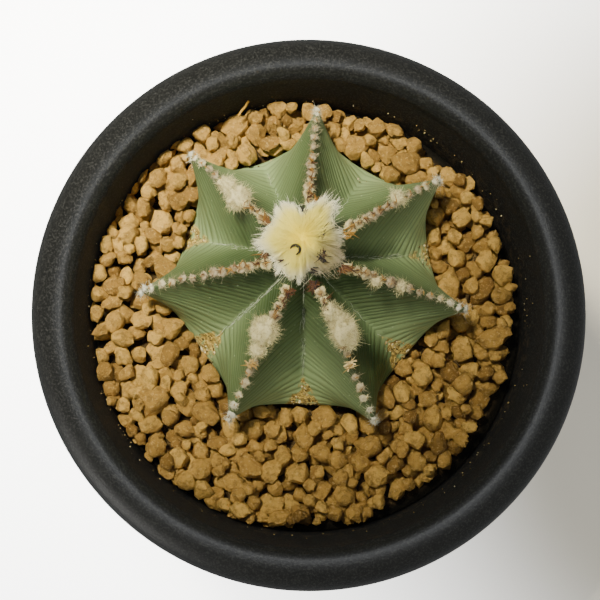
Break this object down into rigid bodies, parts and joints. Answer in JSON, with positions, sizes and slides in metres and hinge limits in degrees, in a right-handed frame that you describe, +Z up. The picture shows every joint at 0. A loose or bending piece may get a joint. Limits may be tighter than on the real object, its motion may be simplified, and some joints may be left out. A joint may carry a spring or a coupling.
{
  "type": "potted aztekium cactus",
  "caption": "Small star-shaped ribbed cactus with growth rings, woolly areoles and a tufted crown, in tan grit inside a round black plastic pot with a rolled lip",
  "frame": {"origin": "Centre of the ring that the pot stands on", "axes": "+Z up along the pot's axis, +Y towards the rib that the picture shows at the top, +X to the picture's right"},
  "size_m": [0.0764, 0.0764, 0.0817],
  "materials": {
    "black_plastic": "matte",
    "tan_grit": "matte",
    "green_skin": "satin",
    "cream_wool": "matte",
    "grey_wool": "matte"
  },
  "bodies": {
    "root": {"pot": "black_plastic", "grit": "tan_grit", "cactus_body": "green_skin", "crown_wool": "cream_wool", "rib_wool_1": "grey_wool", "rib_wool_2": "grey_wool", "rib_wool_3": "grey_wool", "rib_wool_4": "grey_wool", "rib_wool_5": "grey_wool", "rib_wool_6": "grey_wool", "rib_wool_7": "grey_wool"}
  },
  "joints": []
}
